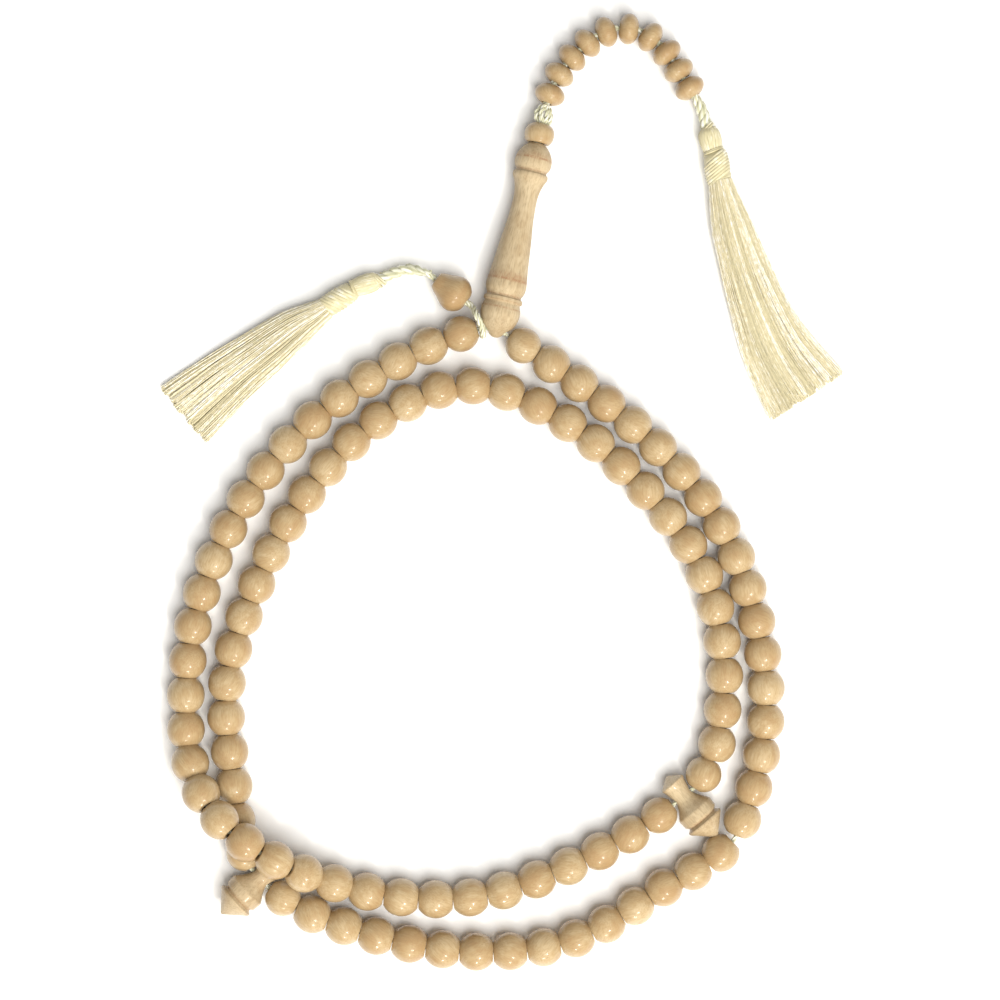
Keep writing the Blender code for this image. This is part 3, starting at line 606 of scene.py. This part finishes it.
def strand_mesh(name, lines, radii, sides=8, tones=None):
    """Round strands along lines of points, as one closed mesh with a `yarn` map and a tone for each."""
    curve = bpy.data.curves.new(name, "CURVE")
    curve.dimensions, curve.bevel_depth, curve.bevel_resolution = "3D", 1, (sides - 4) // 2
    curve.use_fill_caps = False
    for line, radius in zip(lines, radii):
        spline = curve.splines.new("POLY")
        spline.points.add(len(line) - 1)
        spline.points.foreach_set("co", np.column_stack([line, np.ones(len(line))]).ravel())
        spline.points.foreach_set("radius", np.full(len(line), radius))
    holder = bpy.data.objects.new(name, curve)
    bpy.context.scene.collection.objects.link(holder)
    mesh = bpy.data.meshes.new_from_object(holder.evaluated_get(bpy.context.evaluated_depsgraph_get()))
    bpy.data.objects.remove(holder)

    steps = [np.linalg.norm(np.diff(line, axis=0, prepend=line[:1]), axis=1) for line in lines]
    along = np.repeat(np.concatenate([np.cumsum(step) for step in steps]), sides)
    loops = np.empty(len(mesh.loops), int)
    mesh.loops.foreach_get("vertex_index", loops)
    around = (loops % sides / sides).reshape(-1, 4)
    wrapped = np.ptp(around, axis=1) > 0.5
    around[wrapped] += around[wrapped] < 0.5
    for layer in list(mesh.uv_layers):
        mesh.uv_layers.remove(layer)
    yarn = np.column_stack([around.ravel(), along[loops]])
    mesh.uv_layers.new(name="yarn").data.foreach_set("uv", yarn.ravel())
    tones = np.full(len(lines), 0.5) if tones is None else tones
    spread = np.repeat(tones, [len(line) * sides for line in lines])
    mesh.attributes.new("tone", "FLOAT", "POINT").data.foreach_set("value", spread)

    shape = bmesh.new()
    shape.from_mesh(mesh)
    bmesh.ops.holes_fill(shape, edges=[edge for edge in shape.edges if edge.is_boundary])
    shape.to_mesh(mesh)
    shape.free()
    return mesh


def evenly(points, spacing):
    """The same line with points at an even spacing."""
    points = np.array(points, float)
    distances = np.concatenate([[0], np.cumsum(np.linalg.norm(np.diff(points, axis=0), axis=1))])
    stations = np.linspace(0, distances[-1], max(3, round(distances[-1] / spacing) + 1))
    return np.array([np.interp(stations, distances, axis) for axis in points.T]).T


def twisted(name, points, diameter, lay, plies=2, sides=8, per_turn=10):
    """A rope of yarns along a line; `lay` is the length in which a yarn goes round once."""
    line = evenly(points, lay / per_turn)
    widths = np.atleast_1d(diameter)
    diameter = np.interp(np.linspace(0, 1, len(line)), np.linspace(0, 1, len(widths)), widths)
    side, other = travelling_frames(line)
    turns = np.arange(len(line))[:, None] / per_turn * math.tau
    offset, radius = (0.22, 0.29) if plies == 2 else (0.27, 0.26)
    lines = []
    for ply in range(plies):
        turn = turns + math.tau * ply / plies
        lines.append(line + (side * np.cos(turn) + other * np.sin(turn)) * diameter[:, None] * offset)
    tones = 0.5 + 0.12 * np.linspace(-1, 1, plies)
    return strand_mesh(name, lines, [diameter * radius] * plies, sides, tones)


# %% [markdown]
# ## The string's cord
# One cord runs through all the beads and both dividers, and both of its ends go up into the leader's foot.
# Only glimpses of it show between the beads, but those glimpses have to be cord.

# %% The loop cord
line = STRING.stretch(0.3 * MM, STRING.length - 0.3 * MM, 0.5 * MM)
piece("string_cord", [twisted("string_cord", line, LOOP_CORD, 2.6 * MM, sides=6, per_turn=8)], CORD_YARN,
      "strand", "twisted_cord", "loop_cord", sharp=80)
print("string cord:", round(STRING.length * 1000), "mm")

# %% [markdown]
# ## Two dividers
# After every thirty-three beads a divider stops the fingers. It is turned from bare wood: a small round
# head, a waist that the cord's hole is drilled through, and a cup with a grooved rim and a pointed end.
# It leans on its rim, so its axis tilts a little.

# %% A hole drilled through a turned piece, and an outline with soft turns
def drilled(shape, direction, diameter, length):
    """Cuts a round hole through the piece's origin."""
    cutter = bmesh.new()
    place = facing(Vector((0, 0, 0)), direction)
    bmesh.ops.create_cone(cutter, cap_ends=True, segments=32, radius1=diameter / 2, radius2=diameter / 2,
                          depth=length, matrix=place)
    pair = []
    for name, part in (("blank", shape), ("drill", cutter)):
        mesh = bpy.data.meshes.new(name)
        part.to_mesh(mesh)
        part.free()
        pair.append(bpy.data.objects.new(name, mesh))
        bpy.context.scene.collection.objects.link(pair[-1])
    pair[0].modifiers.new("hole", "BOOLEAN").object = pair[1]
    cut = bpy.data.meshes.new_from_object(pair[0].evaluated_get(bpy.context.evaluated_depsgraph_get()))
    result = bmesh.new()
    result.from_mesh(cut)
    for used in pair:
        bpy.data.meshes.remove(used.data)
    return result


def softened(rows, steps=5):
    """The outline with smooth turns between its points."""
    samples, _ = smooth_curve(rows, False, steps)
    return [(height, max(radius, 0)) for height, radius in samples]


def in_mm(rows):
    return [(height * MM, radius * MM) for height, radius in rows]


# %% The dividers
DIVIDER_HEAD_ROWS = in_mm(((0, 0), (0.12, 0.4), (1.75, 2.78), (2.0, 2.92), (2.25, 2.86)))
DIVIDER_ROWS = in_mm(((2.45, 2.76), (3.4, 2.48), (4.4, 2.3), (5.4, 2.25), (6.4, 2.38), (7.4, 2.85),
                      (8.3, 3.5), (9.05, 4.08)))
DIVIDER_POINT = in_mm(((9.25, 4.2), (9.5, 4.25), (11.15, 4.15), (11.35, 4.0), (11.85, 3.5), (12.2, 3.85),
                       (12.5, 4.28), (12.8, 4.32), (13.05, 4.2), (16.8, 0.35), (17.0, 0)))


def dividers():
    tilt = math.asin((DIVIDER_RIM / 2 - BEAD_RADIUS) / (DIVIDER_LENGTH - DIVIDER_RIM / 2 - DIVIDER_SEAT))
    rows = [*DIVIDER_HEAD_ROWS, *softened(DIVIDER_ROWS), *DIVIDER_POINT]
    outline = [(height - DIVIDER_SEAT, radius) for height, radius in rows]
    for number, stop in enumerate(STOPS[1:3], 1):
        cord = STRING.heading(stop)
        level = cord.cross(UP).normalized()
        matrix = facing(STRING.place(stop), level * math.cos(tilt) + UP * math.sin(tilt))
        direction = matrix.to_3x3().inverted() @ cord
        shape = drilled(spun(outline, 56), direction, DIVIDER_HOLE, DIVIDER_RIM * 2)
        parts = []
        add_to(parts, shape, matrix, shift=(0.02 * number, 0, DIVIDER_SEAT), tone=0.3 + 0.25 * number)
        node = f"divider_{number}"
        piece("turned_" + node, parts, DIVIDER_WOOD, node, "turned_wood", node, sharp=24)


dividers()
print("dividers: 2")

# %% [markdown]
# ## The leader and its collar
# The leader is the long minaret that joins both ends of the string. It is one turning: a bulb with a ring,
# a long taper, and a flanged top. The string's two ends go in by a cross hole at its foot and up a bore.
# Burnt brown bands decorate the ring and the flange.

# %% The leader
LEADER_ROWS = in_mm((
    (0, 0), (0.12, 0.7), (0.45, 1.2), (1.0, 1.75), (1.6, 2.4), (2.2, 3.05), (2.9, 3.62), (4.2, 4.1),
    (5.4, 4.3), (6.5, 4.2), (7.55, 3.86),
))
LEADER_RING = in_mm(((7.7, 3.86), (7.95, 4.18), (8.3, 4.28), (8.7, 4.2), (8.95, 3.84), (9.25, 3.74),
                     (9.55, 3.84)))
LEADER_SHAFT = in_mm((
    (9.7, 3.95), (10.6, 4.3), (11.7, 4.4), (13.2, 4.25), (14.9, 4.0), (18.9, 3.6), (21.8, 3.3), (26, 2.8),
    (29.6, 2.6), (31.4, 2.62), (33.0, 2.86), (34.4, 3.3), (35.3, 3.75),
))
LEADER_CAP = in_mm(((35.6, 3.84), (36.2, 3.78), (36.5, 3.42), (36.8, 3.34), (37.1, 3.42), (37.5, 3.75),
                    (38.2, 3.97), (38.9, 4.02), (39.7, 3.92), (40.5, 3.66), (41.3, 3.22), (42.1, 2.6),
                    (42.75, 1.9)))


def leader():
    step, narrow = LEADER_SEAT + LEADER_STEP, LEADER_FOOT_BORE / 2
    outline = [*softened(LEADER_ROWS), *LEADER_RING, *softened(LEADER_SHAFT), *softened(LEADER_CAP, 3)]
    outline += [(LEADER_LENGTH, LEADER_LIP / 2), (LEADER_LENGTH - 0.1 * MM, LEADER_BORE / 2)]
    outline += [(step, LEADER_BORE / 2), (step, narrow), (LEADER_SEAT, narrow), (LEADER_SEAT, 0)]
    outline = [(height - LEADER_SEAT, radius) for height, radius in outline]
    shape = drilled(spun(outline, 64), Vector((1, 0, 0)), LEADER_HOLE, LEADER_BODY)
    parts = []
    add_to(parts, shape, facing(FOOT, LEADER_HEADING), shift=(0, 0, LEADER_SEAT), tone=0.35)
    piece("turned_leader", parts, LEADER_WOOD, "leader", "turned_wood", "minaret", sharp=30)


leader()
print(f"leader: {LEADER_LENGTH * 1000:.1f} mm")

# %% The collar bead, the ten counters and the pear
COLLAR_PLACE = FOOT + LEADER_HEADING * (LEADER_LENGTH - LEADER_SEAT + TOUCH_GAP + COLLAR_LENGTH / 2)
COLLAR_ROWS = in_mm(((-2.28, 1.9), (-2.2, 2.5), (-1.5, 3.02), (-0.6, 3.23), (0.2, 3.22), (1.0, 2.95),
                     (1.65, 2.4), (2.02, 1.75)))
KNOT_DISTANCE = LEADER_LENGTH - LEADER_SEAT + COLLAR_LENGTH + 2 * TOUCH_GAP + KNOT_LENGTH / 2
KNOT = FOOT + LEADER_HEADING * KNOT_DISTANCE
TAIL_START = KNOT + LEADER_HEADING * (KNOT_LENGTH / 2 + TOUCH_GAP)
TAIL = Route([TAIL_START, *[beside(TAIL_START, place, COUNTER_DIAMETER / 2) for place in TAIL_ROUTE]])
COUNTER_STATIONS = [TOUCH_GAP + COUNTER_LENGTH / 2]
for space in COUNTER_SPACES:
    COUNTER_STATIONS.append(COUNTER_STATIONS[-1] + COUNTER_LENGTH + space * MM)
TAIL_END = COUNTER_STATIONS[-1] + COUNTER_LENGTH / 2 + 2 * TOUCH_GAP
PEAR_WIDE, PEAR_SLIM = [beside(FOOT, place, PEAR_DIAMETER / 2) for place in PEAR_ENDS]
PEAR_HEADING = (PEAR_SLIM - PEAR_WIDE).normalized()
PEAR_ROWS = ((0.01, 0.33), (0.0, 0.42), (0.03, 0.58), (0.08, 0.71), (0.15, 0.84), (0.27, 0.97), (0.38, 1.0),
             (0.5, 0.95), (0.62, 0.84), (0.75, 0.7), (0.88, 0.58), (0.97, 0.47), (1.0, 0.36))


def bored(rows, bore):
    """A softened outline that runs back through a bore with eased edges."""
    hole = bore / 2
    low, high = rows[0][0], rows[-1][0]
    return [*softened(rows), (high - 0.2 * MM, hole), (low + 0.2 * MM, hole)]


def small_beads():
    parts = []
    add_to(parts, spun(bored(COLLAR_ROWS, COLLAR_BORE), 48), facing(COLLAR_PLACE, LEADER_HEADING),
           *bead_wood(0.2))
    piece("turned_collar", parts, BEAD_LACQUER, "collar", "bead_wood", "collar_bead")
    for number, station in enumerate(COUNTER_STATIONS, 1):
        one, other = TAIL.place(station - COUNTER_LENGTH / 2), TAIL.place(station + COUNTER_LENGTH / 2)
        outline = ball_outline(COUNTER_DIAMETER, COUNTER_LENGTH, COUNTER_DIAMETER * 0.43, COUNTER_BORE)
        parts, node = [], f"counter_{number:02d}"
        at = facing((one + other) / 2, (other - one).normalized())
        add_to(parts, spun(outline), at, *bead_wood(0.2, 0.75))
        piece("turned_" + node, parts, BEAD_LACQUER, node, "bead_wood", node)
    parts = []
    outline = bored([(h * PEAR_LENGTH, r * PEAR_DIAMETER / 2) for h, r in PEAR_ROWS], PEAR_BORE)
    add_to(parts, spun(outline, 48), facing(PEAR_WIDE, PEAR_HEADING), *bead_wood(0.1, 0.9))
    piece("turned_pear", parts, BEAD_LACQUER, "slider", "bead_wood", "slider_bead")


small_beads()
print(f"tail cord: {TAIL_END * 1000:.2f} mm")

# %% [markdown]
# ## The cords of the tail
# The string's two ends leave the leader together, are doubled and hitched above the collar bead, and go on
# through the counters. The hitch shows as stout strands that fan out of the collar's bore, bow apart, and
# draw together again into the first counter. Each strand is its own short rope along a smooth curve.

# %% The hitch knot and the cord inside the leader
KNOT_STRANDS = (  # mm: across, down towards the table, and along, from the knot's middle
    ((-0.1, 0.1, 2.05), (-1.0, -0.3, 1.35), (-1.6, -0.45, 0.0), (-1.35, -0.5, -1.3), (-0.4, 0.1, -2.1)),
    ((0.25, 0.1, 2.05), (0.95, -0.3, 1.1), (1.6, -0.4, -0.5), (1.5, -0.3, -1.5), (0.5, 0.2, -2.15)),
    ((0.0, -0.3, 2.0), (-0.35, -1.1, 1.3), (-0.6, -1.5, 0.1), (-0.35, -1.45, -1.1), (0.3, -0.6, -2.1)),
    ((0.15, -0.3, 2.0), (0.5, -0.95, 0.9), (0.75, -1.35, -0.3), (0.65, -1.1, -1.5), (0.0, -0.2, -2.1)),
    ((-0.1, 0.3, 2.0), (-0.8, 1.0, 0.8), (-0.9, 1.3, -0.6), (-0.2, 0.5, -2.1)),
    ((0.1, 0.3, 2.0), (0.8, 1.0, 0.6), (0.8, 1.2, -0.8), (0.1, 0.5, -2.1)),
)


def placed(matrix, points):
    """Points in a piece's own space, moved to where the piece lies."""
    turn, shift = np.array(matrix.to_3x3()), np.array(matrix.translation)
    return np.asarray(points, float) @ turn.T + shift


def hitch_knot():
    here = facing(KNOT, LEADER_HEADING)
    parts = []
    for number, rows in enumerate(KNOT_STRANDS):
        points = placed(here, smooth_curve(np.array(rows) * MM, False, 12)[0])
        parts.append(twisted(f"strand_{number}", points, 1.15 * MM, 2.6 * MM, per_turn=12))
    reach = KNOT_DISTANCE - LEADER_STEP - TOUCH_GAP
    ends = [(0, 0, -reach), (0, 0, -0.4 * KNOT_LENGTH)]
    parts.append(twisted("bore", placed(here, ends), 1.9 * MM, 4.2 * MM))
    piece("hitch_knot", parts, CORD_YARN, "leader", "twisted_cord", "leader_cord", sharp=80)


hitch_knot()
print("strands in the knot:", len(KNOT_STRANDS))

# %% The tail's cord, the one cord that hangs free
tail_points = TAIL.stretch(0, TAIL_END, 0.5 * MM)
tucked = np.vstack([[TAIL_START - LEADER_HEADING * 0.8 * MM], tail_points])
tail_cord = piece("counter_cord", [twisted("counter_cord", tucked, TAIL_CORD * 1.05, 3.2 * MM)],
                  CORD_YARN, "tail", "twisted_cord", "tail_cord", sharp=80)
print("points on the tail's cord:", len(tail_points))

# %% [markdown]
# ## The tassels
# A tassel is made on the end of the cord: a bundle of threads is tied over it, which gives the smooth head,
# then bound tightly below with shiny thread, and cut off straight at the end. Each thread of the fringe is
# drawn. A thread starts at its own spot in the bundle's round section and keeps that spot as the
# bundle fans out and flattens on the table; clumps of threads drift together into streaks, and the clumps
# that lie lower are painted darker and the lifted ones lighter, as painted shade.

# %% Threads of a head and of a binding
def head_threads(name, matrix, length, radius, count=68):
    """Threads laid lengthwise over a rounded head, with a slight turn, on a core that closes the gaps; the
    core's low tone is painted shade between the threads.
    """
    rows = ((-0.05, 0.46), (0.05, 0.68), (0.2, 0.92), (0.42, 1.0), (0.7, 0.97), (0.9, 0.88), (1.04, 0.78))
    heights, radii = smooth_curve(rows, False, 3)[0].T
    lines = []
    for number in range(count):
        turn = math.tau * number / count + 0.25 * heights + 0.03 * random.standard_normal()
        reach = radii * (radius - 0.12 * MM) + 0.015 * MM * random.standard_normal()
        lines.append(placed(matrix, np.column_stack([reach * np.cos(turn), reach * np.sin(turn),
                                                     heights * length])))
    parts = [strand_mesh(name, lines, [0.17 * MM] * count, 6, random.uniform(0.35, 0.65, count))]
    core = spun([(0, 0), *((h * length, r * (radius - 0.18 * MM)) for h, r in zip(heights, radii)),
                 (length, 0)], 32)
    # the core's low tone is painted shade in the gaps between the threads
    add_to(parts, core, matrix, tone=0.3)
    return parts


def coil(matrix, low, high, turns, radii, thread, slant, steps=26):
    """Thread wound round a piece from `low` to `high`, each turn leaning by `slant`."""
    share = np.linspace(0, 1, round(turns * steps) + 1)
    turn = share * turns * math.tau
    reach = np.interp(share, np.linspace(0, 1, len(radii)), radii)
    room = np.minimum(share, 1 - share) * (high - low) * 2.2
    lean = np.minimum(reach * math.tan(slant), room)
    height = low + (high - low) * share + lean * np.cos(turn)
    return placed(matrix, np.column_stack([reach * np.cos(turn), reach * np.sin(turn), height])), thread


# %% The fringe
def disc_spots(count):
    """Evenly spread spots in a round section of radius 1, in a sunflower's order."""
    order = np.arange(count) + 0.5
    reach, turn = np.sqrt(order / count), order * math.pi * (3 - math.sqrt(5))
    return np.column_stack([reach * np.cos(turn), reach * np.sin(turn)])


def fringe(name, route, start, length, spread, height, count):
    """Single threads along the route; `spread` is the fringe's width at even steps, in millimetres."""
    spots = disc_spots(count)
    clump = np.floor((spots[:, 0] + 1) * 8.5 + random.uniform(0, 1.0, count)).astype(int)
    drift = random.uniform(-1, 1, (40, 3))
    shares = np.linspace(0, 1, 15)
    widths = np.interp(shares, np.linspace(0, 1, len(spread)), np.array(spread) * MM)
    lines = []
    thick = 0.115 * MM
    for (across, up), own in zip(spots, clump):
        drawn = shares * (1 + 0.01 * drift[own, 2] + 0.016 * random.uniform(-1, 0.8))
        middles = np.array([route.place(start + share * length) for share in drawn])
        heads = np.array([route.heading(start + share * length) for share in drawn])
        side = np.column_stack([heads[:, 1], -heads[:, 0], np.zeros(len(heads))])
        tall = height * (1 - 0.62 * np.clip(shares * 1.25, 0, 1))
        offset = across * 0.5 * (widths - 2 * thick)
        offset = offset + shares**1.5 * drift[own, 0] * 0.45 * MM
        offset = offset + 0.1 * MM * np.sin(shares * random.uniform(5, 14) + random.uniform(0, 6))
        rise = thick + (tall - 2 * thick) * (0.5 + 0.5 * up)
        points = middles + side * offset[:, None]
        points[:, 2] = rise + np.clip(drift[own, 1], 0, 1) * 0.2 * MM * shares
        lines.append(points)
    # painted shade: low-lying clumps are darker, lifted clumps lighter; each thread adds its own random tone
    tones = np.clip(0.5 + 0.25 * drift[clump, 1] + random.uniform(-0.28, 0.28, count), 0, 1)
    return strand_mesh(name, lines, [thick] * count, 4, tones)


# %% One tassel from its four pieces
def tassel(name, start, offsets, sizes, thin, body, turns, slant, count):
    """Rope, head, binding and fringe; the head, binding and fringe ride on the tassel's own body."""
    binding = sizes["binding_d"] * MM / 2
    route = Route([start, *[beside(start, place, binding) for place in offsets]])
    cord_end = sizes["cord"] * MM
    head_end = cord_end + sizes["head"] * MM
    bound_end = head_end + sizes["binding"] * MM
    heading = route.heading(0)
    behind = np.array([start - heading * back * MM for back in (1.0, 0.5)])
    points = np.vstack([behind, route.stretch(0, cord_end + 0.8 * MM, 0.4 * MM)])
    widths = (thin, thin * 0.5 + TASSEL_CORD * 0.5, *[TASSEL_CORD * 1.06] * 5)
    rope = piece(name + "_rope", [twisted(name, points, widths, 5.4 * MM, plies=3)], CORD_YARN, None,
                 "twisted_cord", name + "_cord", sharp=80)
    start - heading * 0.6 * MM
    start + heading * 3 * MM
    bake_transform(rope)

    made = []
    for part, one, other in (("head", cord_end, head_end), ("binding", head_end, bound_end)):
        ahead = (route.place(other) - route.place(one)).normalized()
        made.append(facing(route.place(one) + ahead * TOUCH_GAP, ahead))
    head_at, wrap_at = made
    length, radius = sizes["head"] * MM - 2 * TOUCH_GAP, sizes["head_d"] * MM / 2
    parts = head_threads(name, head_at, length, radius)
    ties = [coil(head_at, -0.7 * MM, 0.9 * MM, 3, (1.2 * MM, 1.45 * MM, 1.8 * MM), 0.24 * MM, 0.5)]
    foot_reach = (radius * 0.82, radius * 0.86)
    ties.append(coil(head_at, length - 0.1 * MM, length + 0.5 * MM, 2, foot_reach, 0.24 * MM, 0.1))
    # the foot coil's low tone (0.15) is painted shade in the gap between the head and the binding
    parts.append(strand_mesh(name, *zip(*ties), 6, (0.45, 0.15)))
    piece(name + "_head_threads", parts, WRAP_YARN, body, "tassel_thread", name + "_head", sharp=80)

    length = sizes["binding"] * MM - TOUCH_GAP
    thread = length / turns * 0.56
    reach = np.array((0.8, 0.97, 1.0, 1.0, 0.97, 0.9)) * binding - thread
    wound = coil(wrap_at, thread, length - thread, turns, reach, thread, slant)
    parts = [strand_mesh(name, [wound[0]], [wound[1]], 8)]
    core = spun([(0, 0), (0, binding * 0.7), (length * 0.2, binding * 0.86), (length * 0.8, binding * 0.88),
                 (length, binding * 0.8), (length, 0)], 32)
    # the core's low tone is painted shade in the gaps between the binding's coils
    add_to(parts, core, wrap_at, tone=0.2)
    piece(name + "_wound_binding", parts, WRAP_YARN, body, "tassel_thread", name + "_binding", sharp=80)

    begin = bound_end - 0.5 * MM
    threads = fringe(name, route, begin, sizes["fringe"] * MM + 0.5 * MM, sizes["spread"], binding * 2, count)
    piece(name + "_threads", [threads], FRINGE_YARN, body, "tassel_thread", name + "_fringe", sharp=80)
    print(name, "threads:", count)


tassel("tail_tassel", TAIL.place(TAIL_END), TAIL_TASSEL_ROUTE, TAIL_TASSEL, TAIL_CORD * 1.05,
       "tail_tassel", 9, 0.46, 800)

# %% [markdown]
# ## The marker
# A thinner cord is hooked round the string between the first bead and the leader, and carries a
# pear-shaped bead and a second, shorter tassel. It can be moved along to mark a place in the count.

# %% The marker's cord and tassel
def marker():
    station = (LEADER_BODY * 0.23 + FIRST_BEAD_SPACE) / 2
    middle, along = STRING.place(station), STRING.heading(station)
    inward = UP.cross(along).normalized()
    reach = (LOOP_CORD + MARKER_CORD) / 2 + TOUCH_GAP
    hook = []
    for step in range(9):
        turn = math.radians(-85 + step * 22.5)
        hook.append(middle + (inward * math.cos(turn) + UP * math.sin(turn)) * reach)
    crevice = beside(FOOT, MARKER_CREVICE, BEAD_RADIUS)
    over = Route([hook[-1], crevice, PEAR_WIDE - PEAR_HEADING * MARKER_CORD, PEAR_WIDE])
    end = PEAR_WIDE + PEAR_HEADING * (PEAR_LENGTH + PEAR_TRAVEL + 2 * TOUCH_GAP)
    points = np.vstack([hook, over.stretch(0.3 * MM, over.length, 0.4 * MM), [end]])
    rope = twisted("marker_rope", points, MARKER_CORD * 1.02, 4.2 * MM, plies=3)
    piece("marker_rope", [rope], CORD_YARN, "strand", "twisted_cord", "marker_cord", sharp=80)
    tassel("marker_tassel", end, MARKER_TASSEL_ROUTE, MARKER_TASSEL, MARKER_CORD, "marker_tassel",
           9, 0.5, 620)


marker()

# %% [markdown]
# ## What the tail carries
# Only the tail's cord hangs long and free. The ten counters and the tail tassel's rope, head and binding are
# gathered in one list.

carried = [bpy.data.objects[f"turned_counter_{number:02d}"] for number in range(1, 11)]
carried += [bpy.data.objects["tail_tassel_" + part] for part in ("rope", "head_threads", "wound_binding")]
